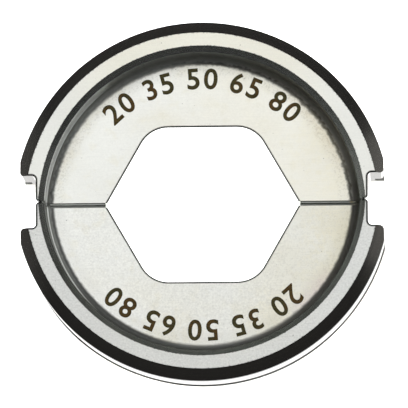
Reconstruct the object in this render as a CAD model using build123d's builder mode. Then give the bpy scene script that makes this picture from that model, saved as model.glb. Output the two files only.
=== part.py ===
from build123d import *
from math import radians, sin, tan
import os

# Crimping die for a hand-held press: two half dies, closed on each other.
# The die lies on its rear rims. The origin is on the crimp axis, level with those rims.
# +Z runs along the crimp axis, +X along the parting plane and +Y the way the press closes.
# Both halves are the same part, and the lower one is the upper one turned half round.
# All sizes are in millimetres.

# Seat: the half-round back that the press's jaw holds
seat_radius = 23.0
seat_centre_drop = 1.0      # the seat's axis lies this far beyond the parting plane
body_width = 20.0           # along the crimp axis, over both rims
side_flat_depth = 0.8       # the flats at the ends of the seat are cut this far into it
lead_in = 1.4               # chamfer on both edges of the seat

# Slot round the back, which the press's retaining pin drops into
slot_width = 5.2
slot_depth = 1.5
slot_edge_break = 0.2

# Rim round each face, and the recess inside it, which leaves the web that does the crimping
rim_width = 1.6             # the flat land between the rim's two chamfers
recess_chamfer = 0.75
recess_depth = 5.0
recess_root_radius = 1.1    # on the front, where the wall meets the web

# Side notches, open at the parting plane, which clear the press's guides
notch_height = 3.2          # in each half, measured from the parting plane
notch_wall = 1.0            # left between the notch and the recess
notch_corner_radius = 0.5   # on the notch's corners, and where it meets the parting plane

# Crimp opening: a hexagon, closed up from a half in each die
across_flats = 19.05
mouth_relief = 1.8          # the mouth is this much wider than a true hexagon's corners
flank_angle = 60.0          # to the parting plane
crimp_corner_radius = 3.8

# Broken edges
edge_break = 0.15           # round the notches and the hexagon
parting_edge_break = 0.3    # along the parting plane

# Places worked out from the sizes above
half_height = seat_radius - seat_centre_drop
half_width = body_width / 2
web_half_width = half_width - recess_depth
slot_floor_radius = seat_radius - slot_depth
rim_outer_radius = seat_radius - lead_in
rim_inner_radius = rim_outer_radius - rim_width
recess_radius = rim_inner_radius - recess_chamfer
flat_x = seat_radius - side_flat_depth
notch_x = recess_radius + notch_wall
crimp_depth = across_flats / 2
mouth_width = across_flats / sin(radians(flank_angle)) + mouth_relief
crimp_top_half = mouth_width / 2 - crimp_depth / tan(radians(flank_angle))

seat_section = Plane((0, -seat_centre_drop, half_width), x_dir=(1, 0, 0), z_dir=(0, -1, 0))
seat_axis = Axis((0, -seat_centre_drop, 0), (0, 0, 1))

os.makedirs("parts", exist_ok=True)

with BuildPart() as upper_half:
    # Section through the seat's axis, turned about it. The rear is like the front, but for the
    # corner at the recess's root, which is square there and rounded on the front
    with BuildSketch(seat_section) as section:
        with BuildLine():
            Polyline(
                (0, 0),
                (slot_floor_radius, 0),
                (slot_floor_radius, slot_width / 2),
                (seat_radius - slot_edge_break, slot_width / 2),
                (seat_radius, slot_width / 2 + slot_edge_break),
                (seat_radius, half_width - lead_in),
                (rim_outer_radius, half_width),
                (rim_inner_radius, half_width),
                (recess_radius, half_width - recess_chamfer),
                (recess_radius, web_half_width),
                (0, web_half_width),
                close=True,
            )
        make_face()
        mirror(about=Plane.XZ)
        front_root = section.vertices().sort_by_distance((recess_radius, web_half_width))[0]
        fillet(front_root, recess_root_radius)
    revolve(axis=seat_axis)

    # Seen along the crimp axis: parting face, side notches, side flats and half of the hexagon
    with BuildSketch() as outline:
        with BuildLine():
            Polyline(
                (notch_x, 0),
                (notch_x, notch_height),
                (flat_x, notch_height),
                (flat_x, half_height),
                (-flat_x, half_height),
                (-flat_x, notch_height),
                (-notch_x, notch_height),
                (-notch_x, 0),
                close=True,
            )
        make_face()
        fillet(outline.vertices().filter_by_position(Axis.Y, 0, notch_height), notch_corner_radius)
        with BuildSketch(mode=Mode.SUBTRACT) as crimp_profile:
            with BuildLine():
                Polyline(
                    (-mouth_width / 2, 0),
                    (-crimp_top_half, crimp_depth),
                    (crimp_top_half, crimp_depth),
                    (mouth_width / 2, 0),
                    close=True,
                )
            make_face()
            fillet(crimp_profile.vertices().group_by(Axis.Y)[-1], crimp_corner_radius)
    extrude(amount=body_width, mode=Mode.INTERSECT)

    # Broken edges: the notches on both rims, the hexagon on both sides of the web, and the
    # parting face from the hexagon's mouth, which stays sharp, out to the chamfers of the rims
    side_edges = upper_half.edges().filter_by_position(Axis.Y, 0, notch_height).group_by(Axis.Z)
    chamfer(side_edges[0] + side_edges[-1], edge_break)
    crimp_edges = upper_half.edges().filter_by(Axis.Z, reverse=True).filter_by_position(
        Axis.X, -mouth_width / 2, mouth_width / 2
    )
    chamfer(crimp_edges.filter_by_position(Axis.Y, 0, crimp_depth), edge_break)
    parting_edges = upper_half.edges().group_by(Axis.Y)[0]
    chamfer(parting_edges.sort_by(lambda edge: abs(edge.center().X))[2:-6], parting_edge_break)

upper_half.part.label = "upper_half"
export_step(upper_half.part, "parts/upper_half.step")

with BuildPart() as lower_half:
    add(upper_half.part, rotation=(0, 0, 180))

lower_half.part.label = "lower_half"
export_step(lower_half.part, "parts/lower_half.step")
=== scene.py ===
import bmesh
import bpy
import math
from types import SimpleNamespace
from mathutils import Matrix, Vector


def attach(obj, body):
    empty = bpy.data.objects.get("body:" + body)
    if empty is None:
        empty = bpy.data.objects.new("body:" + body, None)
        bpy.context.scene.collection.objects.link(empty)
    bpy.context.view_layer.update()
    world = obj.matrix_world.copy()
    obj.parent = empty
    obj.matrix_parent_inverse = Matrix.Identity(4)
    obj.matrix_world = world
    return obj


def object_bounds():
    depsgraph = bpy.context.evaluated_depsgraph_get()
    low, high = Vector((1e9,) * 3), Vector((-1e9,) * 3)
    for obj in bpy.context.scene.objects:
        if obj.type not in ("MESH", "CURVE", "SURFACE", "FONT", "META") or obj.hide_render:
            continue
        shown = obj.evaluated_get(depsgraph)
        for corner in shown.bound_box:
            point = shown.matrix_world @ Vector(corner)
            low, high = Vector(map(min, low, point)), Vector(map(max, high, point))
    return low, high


# Crimping die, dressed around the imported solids. Things are placed in metres, as in the frame, and the
# steel's looks are worked out in millimetres from the place on the part

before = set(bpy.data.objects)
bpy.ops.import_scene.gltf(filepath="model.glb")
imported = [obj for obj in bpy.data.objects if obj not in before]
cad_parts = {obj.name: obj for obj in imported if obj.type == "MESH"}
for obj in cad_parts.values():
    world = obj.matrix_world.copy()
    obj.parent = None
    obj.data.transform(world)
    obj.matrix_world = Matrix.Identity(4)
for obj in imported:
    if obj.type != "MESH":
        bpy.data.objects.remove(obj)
cad_box = [list(corner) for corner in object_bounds()]
MM = 0.001

# Sizes of the solids, in millimetres
body_width = cad_box[1][2] / MM
flat_x = cad_box[1][0] / MM
seat_radius = 23.0
seat_centre_drop = 1.0
lead_in = 1.4
slot_width = 5.2
slot_depth = 1.5
slot_edge_break = 0.2
rim_width = 1.6
recess_chamfer = 0.75
recess_depth = 5.0
recess_root_radius = 1.1
notch_height = 3.2
notch_wall = 1.0
notch_corner_radius = 0.5
across_flats = 19.05
mouth_relief = 1.8
flank_angle = math.radians(60)
crimp_corner_radius = 3.8
edge_break = 0.15
parting_edge_break = 0.3

# Places worked out from the sizes, in millimetres
half_width = body_width / 2
web_half_width = half_width - recess_depth
slot_floor_radius = seat_radius - slot_depth
slot_half_width = slot_width / 2 + slot_edge_break
rim_outer_radius = seat_radius - lead_in
rim_inner_radius = rim_outer_radius - rim_width
recess_radius = rim_inner_radius - recess_chamfer
web_radius = recess_radius - recess_root_radius
notch_x = recess_radius + notch_wall
crimp_depth = across_flats / 2
mouth_half_width = (across_flats / math.sin(flank_angle) + mouth_relief) / 2

# Marking: a row of plain figures along an arc about each seat's axis, as a film partly sunk in the web
marking_text = "20 35 50 65 80"
marking_height = 2.6 * MM
marking_radius = 15.2 * MM
marking_advance = 2.0 * MM
marking_space = 1.05 * MM
marking_thickness = 0.02 * MM
marking_sink = marking_thickness / 4
marking_boldness = 0.02
marking_curve_steps = 6

# Height of the finest bumps in the steel and in the marking
bump_height = 0.004 * MM

# Photograph: its frame, its scale on the plane of the front rims, where the crimp axis meets that plane,
# and how the camera leans and rolls
picture_width_px = 408
scale_per_px = 0.12193 * MM
axis_px = (201.6, 200.0)
view_lean_x = 0.03
view_lean_y = -0.107
camera_distance = 1.0
camera_roll_deg = 0.4
sensor_width_mm = 36.0


def link_new(tree, kind, inputs=(), **settings):
    """A new node with its settings, and its inputs set to values or linked to other nodes' outputs."""
    node = tree.nodes.new(kind)
    for key, value in settings.items():
        setattr(node, key, value)
    for key, value in dict(inputs).items():
        put(tree, node.inputs[key], value)
    return node


def put(tree, socket, value):
    """Sets an input to a plain value, or links it to another node's output."""
    if isinstance(value, Value):
        value = value.socket
    if isinstance(value, bpy.types.NodeSocket):
        tree.links.new(value, socket)
    else:
        socket.default_value = value


class Value:
    """A number in a shader: a node's output that can be reckoned with."""

    def __init__(self, tree, socket):
        self.tree = tree
        self.socket = socket

    def calc(self, operation, *others):
        inputs = enumerate((self, *others))
        node = link_new(self.tree, "ShaderNodeMath", inputs, operation=operation)
        return Value(self.tree, node.outputs[0])

    def __add__(self, other):
        return self.calc("ADD", other)

    def __sub__(self, other):
        return self.calc("SUBTRACT", other)

    def __mul__(self, other):
        return self.calc("MULTIPLY", other)

    def __neg__(self):
        return self * -1.0

    def __abs__(self):
        return self.calc("ABSOLUTE")

    def larger(self, other):
        return self.calc("MAXIMUM", other)

    def reverse(self):
        """1 where the value is 0, and 0 where it's 1."""
        return self.calc("MULTIPLY_ADD", -1.0, 1.0)

    def step(self, low, high, to_low=0.0, to_high=1.0):
        """A smooth step from to_low to to_high, as the value goes from low to high."""
        inputs = {"Value": self, "From Min": low, "From Max": high, "To Min": to_low, "To Max": to_high}
        node = link_new(self.tree, "ShaderNodeMapRange", inputs, interpolation_type="SMOOTHSTEP")
        return Value(self.tree, node.outputs["Result"])

    def near(self, middle, reach, soft):
        """1 within reach of the middle, and 0 a soft border further out."""
        return abs(self - middle).step(reach + soft, reach)

    def swing(self, reach):
        """Noise as a swing about nought, which takes up the reach from end to end."""
        return (self - 0.5) * reach


# The mixing node's inputs and outputs go by number, because several of them have the same name
def mix(first, second, factor):
    """The first where factor is 0, and the second where it is 1."""
    inputs = {0: factor, 2: first, 3: second}
    node = link_new(factor.tree, "ShaderNodeMix", inputs, data_type="FLOAT")
    return Value(factor.tree, node.outputs[0])


def mix_colour(first, second, factor):
    """The first colour where factor is 0, and the second where it is 1."""
    inputs = {0: factor, 6: first, 7: second}
    return link_new(factor.tree, "ShaderNodeMix", inputs, data_type="RGBA").outputs[2]


def length(x, y):
    """Length of the flat vector (x, y)."""
    return (x * x + y * y).calc("SQRT")


def vector_math(tree, operation, inputs):
    """A vector worked out from others."""
    return link_new(tree, "ShaderNodeVectorMath", inputs, operation=operation).outputs[0]


def components(tree, vector):
    """The three numbers of a vector."""
    return [Value(tree, socket) for socket in link_new(tree, "ShaderNodeSeparateXYZ", {0: vector}).outputs]


def combine(tree, x, y, z):
    """A vector or a colour of three numbers."""
    return link_new(tree, "ShaderNodeCombineXYZ", {0: x, 1: y, 2: z}).outputs[0]


def place_on_piece(tree):
    """The place on the piece, in metres."""
    return link_new(tree, "ShaderNodeTexCoord").outputs["Object"]


def place_in_mm(tree):
    """The place on the piece, in millimetres."""
    return vector_math(tree, "SCALE", {0: place_on_piece(tree), "Scale": 1 / MM})


def noise(tree, vector, scale, detail=2.0, roughness=0.5, stretch=(1, 1, 1)):
    """Noise from 0 to 1, centred on a half, with its grain stretched along an axis."""
    if stretch != (1, 1, 1):
        inputs = {"Vector": vector, "Scale": stretch}
        vector = link_new(tree, "ShaderNodeMapping", inputs).outputs["Vector"]
    inputs = {"Vector": vector, "Scale": scale, "Detail": detail, "Roughness": roughness}
    return Value(tree, link_new(tree, "ShaderNodeTexNoise", inputs).outputs["Fac"])


def bumped_normal(tree, height, strength):
    """The surface's normal, swayed by fine bumps."""
    inputs = {"Height": height, "Strength": strength, "Distance": bump_height}
    return link_new(tree, "ShaderNodeBump", inputs).outputs[0]


def new_material(name):
    """An empty node material with its output."""
    material = bpy.data.materials.new(name)
    material.use_nodes = True
    material.node_tree.nodes.clear()
    output = material.node_tree.nodes.new("ShaderNodeOutputMaterial")
    return material, material.node_tree, output


def finish_material(tree, output, inputs):
    """Joins the finished values to the material's output."""
    shader = link_new(tree, "ShaderNodeBsdfPrincipled", inputs)
    tree.links.new(shader.outputs[0], output.inputs["Surface"])


def add_object(name, data):
    """A new object in the scene."""
    thing = bpy.data.objects.new(name, data)
    bpy.context.scene.collection.objects.link(thing)
    return thing


# Patterns in the steel: noise by its scale per millimetre, its detail and its stretch along x, y and z
patterns = {
    "clouds": {"scale": 0.13, "detail": 3.0},
    "grain": {"scale": 4.5, "roughness": 0.6},
    "lines": {"scale": 1.0, "detail": 3.0, "stretch": (0.25, 6.0, 1.0)},
    "scratches": {"scale": 1.0, "detail": 1.0, "stretch": (0.35, 9.0, 1.0)},
    "specks": {"scale": 1.7, "detail": 1.0},
    "dots": {"scale": 2.6, "detail": 1.0},
    "patches": {"scale": 0.6, "detail": 3.0},
}
ring_pattern = {"scale": 1.0, "detail": 3.0, "stretch": (9.0, 1.5, 9.0)}

# How squarely a surface faces along the crimp axis, from 0 to 1, where it counts as a flat, as a chamfer
# at 45 degrees and as a wall. From here on, a pair of numbers is where a look begins and where it is full,
# or what it changes from and to, and three are its middle, its reach and its soft border. Places are in
# millimetres
flat_up = (0.93, 0.99)
bevel_up = (0.7, 0.06, 0.06)
wall_up = (0.3, 0.2)


def measure(tree, axis_y, seed):
    """Places and directions on a half, in millimetres, with the patterns that its steel is made of."""
    at = SimpleNamespace()
    place = place_in_mm(tree)
    at.x, y, at.z = components(tree, place)
    at.y = y - axis_y                   # from the seat's axis
    at.aside = abs(at.x)
    at.depth = abs(y)                   # from the parting plane
    at.inside = abs(at.z - half_width)  # from mid width
    at.radius = length(at.x, at.y)
    at.turn = at.y.calc("ARCTAN2", at.x)

    normal = link_new(tree, "ShaderNodeNewGeometry").outputs["Normal"]
    _, normal_y, normal_z = components(tree, normal)
    at.along_y = abs(normal_y)
    at.up = abs(normal_z)
    at.flat = at.up.step(*flat_up)
    at.bevel = at.up.near(*bevel_up)
    at.wall = at.up.step(*wall_up)

    seeded = vector_math(tree, "ADD", {0: place, 1: (seed, 0, 0)})
    for pattern, settings in patterns.items():
        setattr(at, pattern, noise(tree, seeded, **settings))
    at.rings = noise(tree, combine(tree, at.radius, at.turn, at.z), **ring_pattern)
    return at


# Ground flats and turned chamfers: where their tones change along x, and how far the patterns swing them.
# The chamfers' changes of tone along x are painted light and shade
web_change_x = (-14.0, 4.0)
lip_change_x = (-18.0, -12.0)
seat_chamfer_aside = (18.0, flat_x + 0.1)
seat_chamfer_tones = (0.52, 1.25)
lip_start = (recess_radius - 0.07, recess_radius + 0.01)
cloud_swing = 0.12
ring_swing = 0.25


def ground(at, look):
    """Tone of the flats, with their grain and clouds, and of what is turned, with its rings and with painted
    light and shade on the chamfers along x.
    """
    web_tone = at.x.step(*web_change_x, look.web_left_tone, look.web_tone)
    shade = mix(web_tone, look.land_tone, at.on_land)
    swing = at.grain.swing(look.grain) + at.clouds.swing(cloud_swing) + at.lines.swing(look.lines)
    shade = shade + swing * at.flat
    shade = shade + at.rings.swing(ring_swing) * at.flat.reverse()
    # Painted light and shade: the lip's tone changes at its left end, and the seat's chamfer goes from dark
    # in the middle to light at the ends
    lip_tone = at.x.step(*lip_change_x, look.lip_left_tone, look.lip_tone)
    seat_chamfer_tone = at.aside.step(*seat_chamfer_aside, *seat_chamfer_tones)
    chamfer_tone = mix(lip_tone, seat_chamfer_tone, at.outside)
    return shade * mix(1.0, chamfer_tone, at.bevel * at.radius.step(*lip_start))


# Wear and painted shade: the edges that are nicked, the ring next to the root that is mottled painted shade,
# the side of the web that is pitted, how much of each pattern shows, and how dark it is
outer_nicks = (rim_outer_radius, 0.05, 0.1)
inner_nicks = (rim_inner_radius, 0.03, 0.08)
mottled_ring = (web_radius - 0.55, 0.3, 0.7)
pitted_x = (6.0, 16.0)
nicks_show = (0.52, 0.62)
specks_show = (0.76, 0.8)
scratches_show = (0.66, 0.74)
mottle_shows = (0.5, 0.62)
pits_show = (0.55, 0.68)
nick_strength = 0.7
speck_strength = 0.5
mottle_strength = 0.16


def wear(at, shade, look):
    """Dark specks, scratches and pits on the flats, small nicks along the rim's edges, and a mottled ring of
    painted shade next to the root.
    """
    nicked_edge = at.radius.near(*outer_nicks).larger(at.radius.near(*inner_nicks))
    nick = nicked_edge * at.grain.step(*nicks_show)
    speck = at.dots.step(*specks_show) * at.flat
    scratch = at.scratches.step(*scratches_show) * at.flat
    # A mottled ring of painted shade on the web next to the root
    mottle = at.root.near(*mottled_ring) * at.grain.step(*mottle_shows) * at.flat
    pitted = at.grain.step(*pits_show) * at.x.step(*pitted_x) * at.on_land.reverse() * at.flat
    mottle = (mottle * mottle_strength).larger(pitted * look.pit_strength)
    dark = (nick * nick_strength).larger(speck * speck_strength)
    dark = dark.larger(scratch * look.lines).larger(mottle)
    return shade * dark.reverse()


# Recess: its wall, and the rounded root between it and the web
recess_wall_up = (0.8, 0.6)
recess_wall_start = (web_radius - 0.65, web_radius - 0.15)
recess_wall_end = (recess_radius + 0.03, recess_radius + 0.01)
recess_wall_tone = 0.7
root_up = (0.995, 0.95)
root_start = (web_radius - 0.15, web_radius - 0.05)
root_end = (recess_radius + 0.05, recess_radius + 0.03)

# Painted shade in the root: full in the lower part, but thinner around one place, and changing in the upper
# part at its left end. The right end of the root, beside the parting plane, has painted shade of its own
grime_start = (web_radius - 0.15, web_radius + 0.23)
grime_top = (web_radius + 0.3, web_radius + 0.6)
grime_end = (recess_radius + 0.05, recess_radius + 0.01)
grime_inside = (web_half_width - 0.7, web_half_width - 0.4)
grime_opening_reach = (4.0, 11.0)
grime_full = 0.8
grime_left_x = (-18.0, -14.0)
root_corner_depth = (5.0, 1.0)
root_corner_x = (12.0, 16.0)

# Painted shade along the inner edge of the lip, and a painted highlight streak on the wall
seam_ring = (recess_radius + 0.06, 0.04, 0.03)
seam_tone = 0.6
streak_inside = (web_half_width + 0.1, web_half_width + 0.3)
streak_soft = 0.04
streak_fade = 4.0
streak_tone = 1.0


def recess(at, shade, look):
    """Wall of the recess with a painted highlight streak, and painted shade in the root below it and along
    the lip's inner edge. Also how matt they are.
    """
    wall = at.up.step(*recess_wall_up) * at.radius.step(*recess_wall_end)
    wall = wall * at.radius.step(*recess_wall_start)
    shade = mix(shade, recess_wall_tone, wall)

    # Painted shade in the root, thinner around one place, with painted shade of its own at the right end
    # beside the parting plane
    in_root = at.root.step(*grime_start)
    beside_web = at.inside.step(*grime_inside)
    in_recess = at.radius.step(*grime_end)
    low = abs(at.x - look.grime_open_x).step(*grime_opening_reach, look.grime_open, grime_full)
    high = at.x.step(*grime_left_x, look.grime_high_left, look.grime_high)
    grime = in_root * mix(low, high, at.root.step(*grime_top)) * beside_web * in_recess
    corner = in_root * at.depth.step(*root_corner_depth) * at.x.step(*root_corner_x)
    corner = corner * beside_web * in_recess
    shade = shade * mix(1.0, look.root_corner_tone, corner) * grime.reverse()
    # Painted shade along the inner edge of the lip
    shade = shade * at.radius.near(*seam_ring).step(0.0, 1.0, 1.0, seam_tone)

    # Painted highlight: a bright streak on the wall, whose normal is also tilted upwards
    streak = at.radius.near(look.streak_radius, look.streak_width, streak_soft)
    streak = streak * at.inside.step(*streak_inside)
    streak = streak * at.x.step(look.streak_end, look.streak_end - streak_fade)
    shade = mix(shade, streak_tone, streak)
    root = at.up.step(*root_up) * at.radius.step(*root_start) * at.radius.step(*root_end)
    return shade, wall.larger(root).larger(streak), grime, streak


# Crimp opening: its flanks by their direction and distance, the centres of its corners, and how far from
# its outline the broken edge and the walls reach
flank_x = math.sin(flank_angle)
flank_y = math.cos(flank_angle)
flank_distance = mouth_half_width * flank_x
corner_y = crimp_depth - crimp_corner_radius
corner_x = (flank_distance - crimp_corner_radius - corner_y * flank_y) / flank_x
opening_edge_reach = (edge_break + 0.1, edge_break + 0.02)
opening_edge_up = (0.5, 0.6)
opening_wall_reach = (0.05, 0.02)
opening_wall_tone = 1.0


def opening(at, shade, look):
    """Painted shade on the broken edge of the crimp opening, and its bright walls, by the distance from its
    rounded hexagon.
    """
    flank = at.aside * flank_x + at.depth * flank_y
    sharp = (at.depth - crimp_depth).larger(flank - flank_distance)
    from_x = at.aside - corner_x
    from_y = at.depth - corner_y
    in_corner = from_x.calc("GREATER_THAN", 0.0)
    in_corner = in_corner * from_y.calc("GREATER_THAN", from_x * (flank_y / flank_x))
    distance = mix(sharp, length(from_x, from_y) - crimp_corner_radius, in_corner)
    # Painted shade on the opening's broken edge
    edge = distance.step(*opening_edge_reach) * at.up.step(*opening_edge_up)
    wall = distance.step(*opening_wall_reach) * at.wall
    return mix(shade * mix(1.0, look.opening_edge_tone, edge), opening_wall_tone, wall)


# Side notches: the centres of the roundings at their inner corners and where they meet the parting plane,
# how far the broken edges reach, and where the upper faces of the notches lie
notch_corner_x = notch_x + notch_corner_radius
notch_corner_y = notch_height - notch_corner_radius
parting_corner_x = notch_x - notch_corner_radius
parting_corner_y = notch_corner_radius
notch_edge_reach = (edge_break + 0.13, edge_break + 0.03)
parting_corner_reach = (notch_corner_radius - 0.24, notch_corner_radius - 0.16)
parting_corner_depth = (1.0, 0.8)
notch_edge_z = (body_width - 0.5, body_width - 0.3)
notch_edge_radius = (rim_outer_radius + 0.2, rim_outer_radius - 0.1)
notch_edge_tone = 0.2
notch_face_y = (0.9, 0.95)
notch_face_aside = (notch_x - 0.25, notch_x + 0.05)
notch_face_z = (half_width - 0.5, half_width + 0.5)
notch_face_tone = 0.46


def notches(at, shade):
    """Painted shade on the edges of the side notches and of the rims' corners, and the notches' grey upper
    faces.
    """
    from_x = (-at.aside + notch_corner_x).larger(0.0)
    from_y = (at.depth - notch_corner_y).larger(0.0)
    notch_edge = (length(from_x, from_y) - notch_corner_radius).step(*notch_edge_reach)
    from_x = (at.aside - parting_corner_x).larger(0.0)
    from_y = (-at.depth + parting_corner_y).larger(0.0)
    corner_edge = length(from_x, from_y).step(*parting_corner_reach) * at.depth.step(*parting_corner_depth)
    # Painted shade on the broken edges of the notches and of the rims' corners
    edge = notch_edge.larger(corner_edge) * at.z.step(*notch_edge_z) * at.radius.step(*notch_edge_radius)
    shade = shade * mix(1.0, notch_edge_tone, edge)
    face = at.along_y.step(*notch_face_y) * at.aside.step(*notch_face_aside) * at.z.step(*notch_face_z)
    return mix(shade, notch_face_tone, face), face


# Back: the walls of the notches, the seat above them and the slot in it. The slot is darkened inside as
# painted shade, and its bright line, painted light, lies on the rear flange, along the notches and beyond a
# circle about a centre beside the seat's axis, where the painted shadow of the front flange ends
notch_wall_depth = (notch_height + 0.15, notch_height + 0.05)
notch_wall_aside = (notch_x - 0.1, notch_x - 0.05)
notch_wall_tone = 0.5
seat_depth = (notch_height + 0.05, notch_height + 0.15)
seat_start = (flat_x - 0.15, flat_x - 0.05)
seat_tone = 0.36
slot_inside = (slot_half_width + 0.04, slot_half_width)
slot_start = (slot_floor_radius - 0.6, slot_floor_radius - 0.4)
slot_floor_end = (slot_floor_radius + 0.2, slot_floor_radius + 0.1)
slot_floor_tone = 0.2
slot_side_tone = 0.3
slot_line_x = -0.16
slot_line_y = 0.58
slot_line_radius = (seat_radius + 0.28, seat_radius + 0.34)
slot_line_depth = (notch_height + 0.34, notch_height + 0.28)
slot_line_z = (half_width + 0.5, half_width - 0.5)
slot_line_tone = 0.95


def back(at, shade):
    """Seat round the back, grey when seen squarely, and the slot in it, with painted shade inside and a line
    of painted light.
    """
    notch_side = at.depth.step(*notch_wall_depth) * at.aside.step(*notch_wall_aside)
    above_notch = at.depth.step(*seat_depth)
    shade = mix(shade, notch_wall_tone, at.wall * notch_side)
    shade = mix(shade, seat_tone, at.wall * (above_notch * at.radius.step(*seat_start)))
    slot = at.inside.step(*slot_inside) * at.radius.step(*slot_start)
    # Painted shade inside the slot
    slot_floor = at.wall * slot * above_notch * at.radius.step(*slot_floor_end)
    shade = mix(shade, slot_floor_tone, slot_floor)
    # Painted light: a bright matt line beyond where the front flange's painted shadow ends
    from_centre = length(at.x - slot_line_x, at.y - slot_line_y)
    line = from_centre.step(*slot_line_radius).larger(at.depth.step(*slot_line_depth))
    line = line * slot * at.z.step(*slot_line_z)
    shade = mix(shade, slot_side_tone, slot * at.flat)
    return mix(shade, slot_line_tone, line), line


# Groove between the halves, made by the broken edges of their parting faces, with painted light and shade on
# them and painted shade in the gap
groove_depth = (parting_edge_break + 0.06, parting_edge_break + 0.02)
groove_side_y = (0.5, 0.6)
groove_edge_depth = (parting_edge_break / 2 + 0.02, parting_edge_break / 2 + 0.06)
gap_soft = 0.03
gap_tone = 0.1


def groove(at, shade, look):
    """This half's side of the groove between the halves: painted light and shade at its edge and beside it,
    and painted shade in the gap.
    """
    side = at.bevel * at.depth.step(*groove_depth) * at.along_y.step(*groove_side_y)
    # Painted light and shade along this half's side of the groove, and painted shade in the gap
    tone = at.depth.step(*groove_edge_depth, look.groove_tone, look.groove_edge_tone)
    tone = tone * at.depth.step(look.gap_depth, look.gap_depth + gap_soft, gap_tone, 1.0)
    return mix(shade, tone, side), side


# Stains: how the specks and the grain tear them, how much of a burn's reach is full, and how far inwards
# from the root it goes
stain_specks = (0.35, 0.65)
stain_stretch = (0.7, 1.5)
stain_grain = (0.3, 0.6)
patch_strengths = (0.6, 1.0)
burn_strengths = (0.5, 1.0)
burn_full = 0.3
burn_soft = 0.7
burn_swing = 1.6
burn_radius = (web_radius - 1.95, web_radius + 0.25)


def stained(at, tint, look):
    """Stains: ragged patches on the web, and burns along the recess's root."""
    for centre, reach, strength, colour in look.stains:
        away = length(at.x - centre[0], at.y - centre[1]) * at.specks.step(*stain_specks, *stain_stretch)
        patch = away.step(reach, 0.0) * at.grain.step(*stain_grain, *patch_strengths) * strength
        tint = mix_colour(tint, colour, patch)
    for turn, reach, strength, colour in look.burns:
        along = at.turn.near(turn, burn_full * reach, burn_soft * reach)
        torn = at.root + at.specks.swing(burn_swing)
        patch = along * torn.step(*burn_radius) * at.grain.step(*stain_grain, *burn_strengths) * strength
        tint = mix_colour(tint, colour, patch)
    return tint


# Colours of stains, and of what is turned
straw = (0.97, 0.93, 0.74, 1.0)
rose = (0.90, 0.80, 0.76, 1.0)
olive = (0.88, 0.84, 0.66, 1.0)
brown = (0.80, 0.71, 0.52, 1.0)
lip_tint = (0.975, 1.0, 0.955, 1.0)
seat_chamfer_tint = (1.0, 0.96, 0.88, 1.0)

# Steel: where the rim's land begins, where tints change, and how rough, how bumpy and how dull at a slant
# each part is
land_start = (recess_radius + 0.15, recess_radius + 0.35)
outside_start = (rim_inner_radius + 0.5, rim_inner_radius + 0.7)
warm_swing = 60.0
warm_change_x = (-16.0, 14.0)
olive_shows = (0.52, 0.72)
olive_strength = 0.25
land_top_aside = (18.0, 9.0)
grime_tint_x = (2.0, 10.0)
turned_rough = 0.14
turned_rough_range = 0.06
flat_rough = 0.36
flat_rough_range = 0.1
recess_rough = 0.52
groove_rough = 0.8
slot_line_rough = 0.6
seat_end_radius = (seat_radius - 0.2, seat_radius - 0.1)
seat_end_z = (body_width - 2.7, body_width - 1.9)
slant_loss = 0.8
notch_face_share = 0.6
steel_bump = 0.25
streak_lift = 1.2


def steel(name, axis_y, look, seed):
    """Bright steel of a half: ground flats, darker chamfers and walls, and what use has left on them."""
    material, tree, output = new_material(name)
    at = measure(tree, axis_y, seed)
    at.root = length(at.x + look.root_offset, at.y) - look.root_shift
    at.root = at.root + at.specks.swing(look.ragged)
    at.on_land = at.radius.step(*land_start)
    at.outside = at.radius.step(*outside_start)

    shade = wear(at, ground(at, look), look)
    shade, matt, grime, streak = recess(at, shade, look)
    shade = opening(at, shade, look)
    shade, slot_line = back(at, shade)
    shade, notch_face = notches(at, shade)
    shade, groove_side = groove(at, shade, look)

    # Tint: warmer to the right and on top of the rim's land, with stains, and its own where it's turned,
    # which is warmer where the root's painted shade lies on the right
    warmth = at.x + at.clouds.swing(warm_swing)
    web_tint = mix_colour(look.cool_tint, look.warm_tint, warmth.step(*warm_change_x))
    web_tint = mix_colour(web_tint, olive, at.patches.step(*olive_shows) * olive_strength)
    web_tint = stained(at, web_tint, look)
    land_tint = mix_colour(look.land_side_tint, look.land_top_tint, at.aside.step(*land_top_aside))
    flat_tint = mix_colour(web_tint, land_tint, at.on_land)
    turned_tint = mix_colour(lip_tint, seat_chamfer_tint, at.outside)
    turned_tint = mix_colour(turned_tint, look.grime_tint, grime * at.x.step(*grime_tint_x))
    tint = mix_colour(turned_tint, flat_tint, at.flat)
    colour = vector_math(tree, "SCALE", {0: tint, "Scale": shade})

    rough = at.rings * turned_rough_range + turned_rough
    rough = mix(rough, at.clouds * flat_rough_range + flat_rough, at.flat)
    rough = mix(rough, recess_rough, matt)
    rough = mix(rough, groove_rough, groove_side)
    rough = mix(rough, slot_line_rough, slot_line)

    # Edges seen at a slant reflect less than bare steel: the notches' faces and the seat's front end
    seat_end = at.radius.step(*seat_end_radius) * at.z.step(*seat_end_z)
    slant = ((notch_face * notch_face_share).larger(seat_end) * slant_loss).reverse()

    bump = bumped_normal(tree, mix(at.rings, at.grain + at.lines, at.flat), steel_bump)
    # Normals tilted upwards on the groove's side and on the wall's painted highlight streak
    lift = combine(tree, 0.0, 0.0, groove_side * look.groove_lift + streak * streak_lift)
    lifted = vector_math(tree, "ADD", {0: bump, 1: lift})
    finish_material(tree, output, {
        "Base Color": colour,
        "Metallic": slot_line.reverse(),
        "Roughness": rough,
        "Normal": vector_math(tree, "NORMALIZE", {0: lifted}),
        "Specular Tint": combine(tree, slant, slant, slant),
    })
    return material


def dress(node, material):
    """Gives a node of the frame its material, in place of the plain one."""
    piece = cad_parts[node]
    for slot_of_piece in piece.material_slots:
        slot_of_piece.material = material
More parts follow.
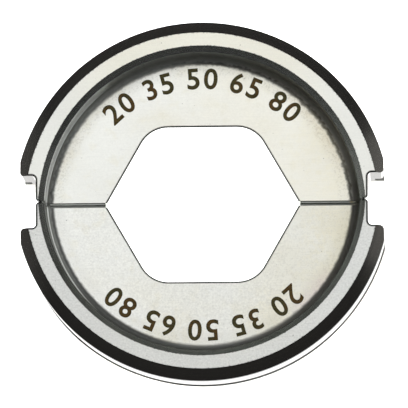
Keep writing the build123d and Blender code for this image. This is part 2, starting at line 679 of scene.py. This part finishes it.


# Looks of the two halves. A tone is how bright the steel is, and the lip is the chamfer between the recess
# and the rim's land. Grain and lines are how far these patterns swing the tone. The root is a ring that is
# offset to the left, shifted outwards and ragged by so much, with painted shade of its own strength around
# one place, in its upper part and at that part's left end. The tones of the lip's left end, the edges, the
# root's corner and the groove are painted light and shade, and the wall has a painted highlight streak.
# Radii and places are in millimetres.
# A stain is a place on the web, its reach, its strength and its colour, and a burn is a direction from
# the seat's axis, its reach along the root, its strength and its colour
upper_look = SimpleNamespace(
    web_tone=0.76, web_left_tone=0.76, land_tone=0.72, lip_tone=0.92, lip_left_tone=0.65,
    opening_edge_tone=0.42, root_corner_tone=0.6, groove_tone=1.0, groove_edge_tone=0.25,
    grain=0.12, lines=0.06, pit_strength=0.06,
    root_offset=0.2, root_shift=0.0, ragged=0.5,
    grime_open_x=-9.0, grime_open=0.5, grime_high=0.3, grime_high_left=0.45,
    streak_radius=19.22, streak_width=0.07, streak_end=-10.0,
    gap_depth=0.05, groove_lift=0.8,
    grime_tint=(1.0, 0.92, 0.68, 1.0),
    cool_tint=(0.99, 1.0, 0.95, 1.0),
    warm_tint=(0.99, 0.975, 0.87, 1.0),
    land_side_tint=(0.99, 1.0, 0.945, 1.0),
    land_top_tint=(1.0, 0.985, 0.87, 1.0),
    stains=(
        ((15.0, 9.0), 5.0, 0.5, straw),
        ((16.5, 3.5), 4.0, 0.4, straw),
    ),
    burns=(
        (math.radians(35), 0.5, 0.5, brown),
        (math.radians(150), 0.6, 0.35, olive),
    ),
)
lower_look = SimpleNamespace(
    web_tone=0.7, web_left_tone=0.76, land_tone=0.62, lip_tone=0.74, lip_left_tone=0.9,
    opening_edge_tone=0.28, root_corner_tone=1.0, groove_tone=0.45, groove_edge_tone=0.6,
    grain=0.34, lines=0.08, pit_strength=0.18,
    root_offset=0.05, root_shift=0.06, ragged=0.2,
    grime_open_x=3.0, grime_open=0.6, grime_high=0.6, grime_high_left=0.25,
    streak_radius=19.08, streak_width=0.06, streak_end=-12.0,
    gap_depth=0.03, groove_lift=0.0,
    grime_tint=(1.0, 0.97, 0.85, 1.0),
    cool_tint=(0.99, 1.0, 0.955, 1.0),
    warm_tint=(1.0, 0.99, 0.89, 1.0),
    land_side_tint=(0.985, 1.0, 0.965, 1.0),
    land_top_tint=(0.99, 1.0, 0.955, 1.0),
    stains=(
        ((16.8, -4.0), 5.0, 0.8, straw),
        ((14.5, -10.5), 4.5, 0.5, straw),
        ((9.0, -15.5), 5.0, 0.5, straw),
        ((-5.0, -18.0), 5.0, 0.5, olive),
    ),
    burns=(
        (math.radians(-22), 0.4, 0.7, olive),
        (math.radians(-42), 0.25, 0.7, rose),
    ),
)
upper_steel = steel("upper_half_steel", -seat_centre_drop, upper_look, seed=0.0)
lower_steel = steel("lower_half_steel", seat_centre_drop, lower_look, seed=40.0)
dress("upper_half", upper_steel)
dress("lower_half", lower_steel)

# Burnt marking: its colours, and how much of the patches and of the beam's fine lines shows
burnt_brown = (0.08, 0.05, 0.02, 1.0)
burnt_olive = (0.06, 0.052, 0.024, 1.0)
burnt_dark = (0.03, 0.027, 0.016, 1.0)
burnt_patches = {"scale": 0.5}
burnt_lines = {"scale": 1.0, "stretch": (1.0, 14.0, 1.0)}
burnt_olive_shows = (0.4, 0.55)
burnt_dark_shows = (0.3, 0.9)
burnt_rough_lines = (0.3, 0.7)
burnt_rough = (0.38, 0.5)
burnt_bump = 0.3


def burnt_steel(name):
    """Marking burnt into the steel: dark brown that turns olive in places, with the beam's fine lines."""
    material, tree, output = new_material(name)
    place = place_in_mm(tree)
    lines = noise(tree, place, **burnt_lines)
    olive_part = noise(tree, place, **burnt_patches).step(*burnt_olive_shows)
    colour = mix_colour(burnt_brown, burnt_olive, olive_part)
    finish_material(tree, output, {
        "Base Color": mix_colour(colour, burnt_dark, lines.step(*burnt_dark_shows)),
        "Metallic": 1.0,
        "Roughness": lines.step(*burnt_rough_lines, *burnt_rough),
        "Normal": bumped_normal(tree, lines, burnt_bump),
    })
    return material


def figure_mesh(figure):
    """One figure of the built-in typeface, one unit tall, centred sideways and with a thickness of one."""
    curve = bpy.data.curves.new("figure", "FONT")
    curve.body = figure
    curve.resolution_u = marking_curve_steps
    curve.offset = marking_boldness
    curve.extrude = 0.5
    carrier = bpy.data.objects.new("figure", curve)
    mesh = bpy.data.meshes.new_from_object(carrier)
    bpy.data.objects.remove(carrier)
    low_x, high_x = (pick(v.co.x for v in mesh.vertices) for pick in (min, max))
    low_y, high_y = (pick(v.co.y for v in mesh.vertices) for pick in (min, max))
    grow = 1 / (high_y - low_y)
    shift = Matrix.Translation((-(low_x + high_x) / 2, -low_y, curve.extrude))
    mesh.transform(Matrix.Diagonal((grow, grow, 1, 1)) @ shift)
    return mesh


def marking(name, half_turn, material):
    """Row of figures along an arc of the web, as a thin film on the steel."""
    widths = [marking_space if figure == " " else marking_advance for figure in marking_text]
    run = -sum(widths) / 2
    shape = bmesh.new()
    size = Matrix.Diagonal((marking_height, marking_height, marking_thickness, 1))
    web_top = (body_width - recess_depth) * MM
    foot = Matrix.Translation((0, marking_radius, web_top - marking_sink))
    seat = Matrix.Translation((0, -seat_centre_drop * MM, 0))
    side = Matrix.Rotation(half_turn, 4, "Z")
    for figure, width in zip(marking_text, widths):
        angle = (run + width / 2) / marking_radius
        run += width
        if figure == " ":
            continue
        mesh = figure_mesh(figure)
        mesh.transform(side @ seat @ Matrix.Rotation(-angle, 4, "Z") @ foot @ size)
        shape.from_mesh(mesh)
        bpy.data.meshes.remove(mesh)
    mesh = bpy.data.meshes.new(name)
    shape.to_mesh(mesh)
    shape.free()
    mesh.materials.clear()
    mesh.materials.append(material)
    piece = add_object(name, mesh)
    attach(piece, "root")


marking_material = burnt_steel("burnt_steel")
marking("upper_half_marking", 0.0, marking_material)
marking("lower_half_marking", math.pi, marking_material)

# Studio: a round floor with a wall round it, and the table top that the steel mirrors in the floor's place
circle_steps = 96
floor_radius = 2.5
floor_z = -0.02 * MM
floor_glow = 1.15
floor_noise_scale = 60.0
floor_noise_range = (0.2, 0.8)
floor_tones = (0.82, 0.86)
floor_rough = 0.9
backdrop_radius = 1.9
backdrop_top = 2.4
table_glow = 1.7
table_full_radius = 40 * MM
table_radius = 100 * MM
table_dark_radius = 95 * MM
white = (1, 1, 1, 1)
black = (0, 0, 0, 1)


def pale_floor(name):
    """White floor that glows a little, so that the die casts hardly any shadow on it."""
    material, tree, output = new_material(name)
    tone = noise(tree, place_on_piece(tree), floor_noise_scale).step(*floor_noise_range, *floor_tones)
    finish_material(tree, output, {
        "Base Color": combine(tree, tone, tone, tone),
        "Roughness": floor_rough,
        "Emission Color": white,
        "Emission Strength": floor_glow,
    })
    return material


def mirrored_table(name):
    """Table as the steel mirrors it: bright close by and dark further out, which keeps the chamfers dark."""
    material, tree, output = new_material(name)
    x, y, _ = components(tree, place_on_piece(tree))
    finish_material(tree, output, {
        "Base Color": black,
        "Roughness": 1.0,
        "Specular IOR Level": 0.0,
        "Emission Color": white,
        "Emission Strength": length(x, y).step(table_full_radius, table_dark_radius, table_glow, 0.0),
    })
    return material


def circle(radius, z):
    """Points of a level circle about the crimp axis."""
    turns = [2 * math.pi * step / circle_steps for step in range(circle_steps)]
    return [(radius * math.cos(turn), radius * math.sin(turn), z) for turn in turns]


def add_mesh(name, points, faces, material):
    """A new mesh object in the scene."""
    mesh = bpy.data.meshes.new(name)
    mesh.from_pydata(points, [], faces)
    mesh.materials.append(material)
    return add_object(name, mesh)


def disc(name, radius, z, material):
    """Round plate."""
    plate = add_mesh(name, circle(radius, z), [tuple(range(circle_steps))], material)
    return plate


def backdrop(name, radius, low_z, high_z, material):
    """Round wall behind the floor, which the steel doesn't mirror and which casts no shadow."""
    faces = []
    for step in range(circle_steps):
        after = (step + 1) % circle_steps
        faces.append((step, after, circle_steps + after, circle_steps + step))
    wall = add_mesh(name, circle(radius, low_z) + circle(radius, high_z), faces, material)
    wall.visible_glossy = False
    wall.visible_shadow = False


floor_material = pale_floor("pale_floor")
floor = disc("floor", floor_radius, floor_z, floor_material)
floor.visible_glossy = False
table_top = disc("table_top", table_radius, floor_z / 2, mirrored_table("mirrored_table"))
table_top.visible_camera = False
table_top.visible_diffuse = False
table_top.visible_shadow = False
backdrop("backdrop", backdrop_radius, floor_z, backdrop_top, floor_material)


def soft_box(name, centre, size, radiance):
    """Rectangular light that faces the die, with its brightness as seen in a mirror."""
    data = bpy.data.lights.new(name, "AREA")
    data.shape = "RECTANGLE"
    data.size, data.size_y = size
    data.energy = radiance * math.pi * size[0] * size[1]
    light = add_object(name, data)
    light.location = centre
    light.rotation_euler = (-Vector(centre)).to_track_quat("-Z", "Y").to_euler()
    light.visible_camera = False


soft_box("overhead", centre=(0.03, 0.26, 1.2), size=(1.2, 0.62), radiance=2.03)
soft_box("right_side", centre=(1.05, 0.1, 0.9), size=(1.5, 0.7), radiance=0.7)
soft_box("back_side", centre=(0.0, 1.0, 1.1), size=(1.2, 0.5), radiance=0.6)
soft_box("right_horizon", centre=(1.0, 0.1, 0.05), size=(0.9, 0.3), radiance=0.06)

world_tone = 0.045
world = bpy.data.worlds.new("studio")
world.use_nodes = True
world_colour = (world_tone, world_tone, world_tone, 1)
world.node_tree.nodes["Background"].inputs["Color"].default_value = world_colour
bpy.context.scene.world = world
bpy.context.scene.view_settings.view_transform = "Standard"

# Camera: nearly over the die, leaning a little towards its lower half, and rolled as the photograph shows
towards_camera = Vector((view_lean_x, view_lean_y, 1)).normalized()
half_picture_px = picture_width_px / 2
target = Vector((0, 0, body_width * MM))
camera_data = bpy.data.cameras.new("camera")
camera_data.sensor_width = sensor_width_mm
camera_data.lens = sensor_width_mm * camera_distance / (picture_width_px * scale_per_px)
camera = add_object("camera", camera_data)
across = Vector((0, 1, 0)).cross(towards_camera).normalized()
turned = Matrix((across, towards_camera.cross(across), towards_camera)).transposed()
turned = turned @ Matrix.Rotation(math.radians(-camera_roll_deg), 3, "Z")
shift_x = (half_picture_px - axis_px[0]) * scale_per_px
shift_y = (axis_px[1] - half_picture_px) * scale_per_px
camera_place = target + towards_camera * camera_distance + turned @ Vector((shift_x, shift_y, 0))
camera.matrix_world = Matrix.Translation(camera_place) @ turned.to_4x4()
bpy.context.scene.camera = camera
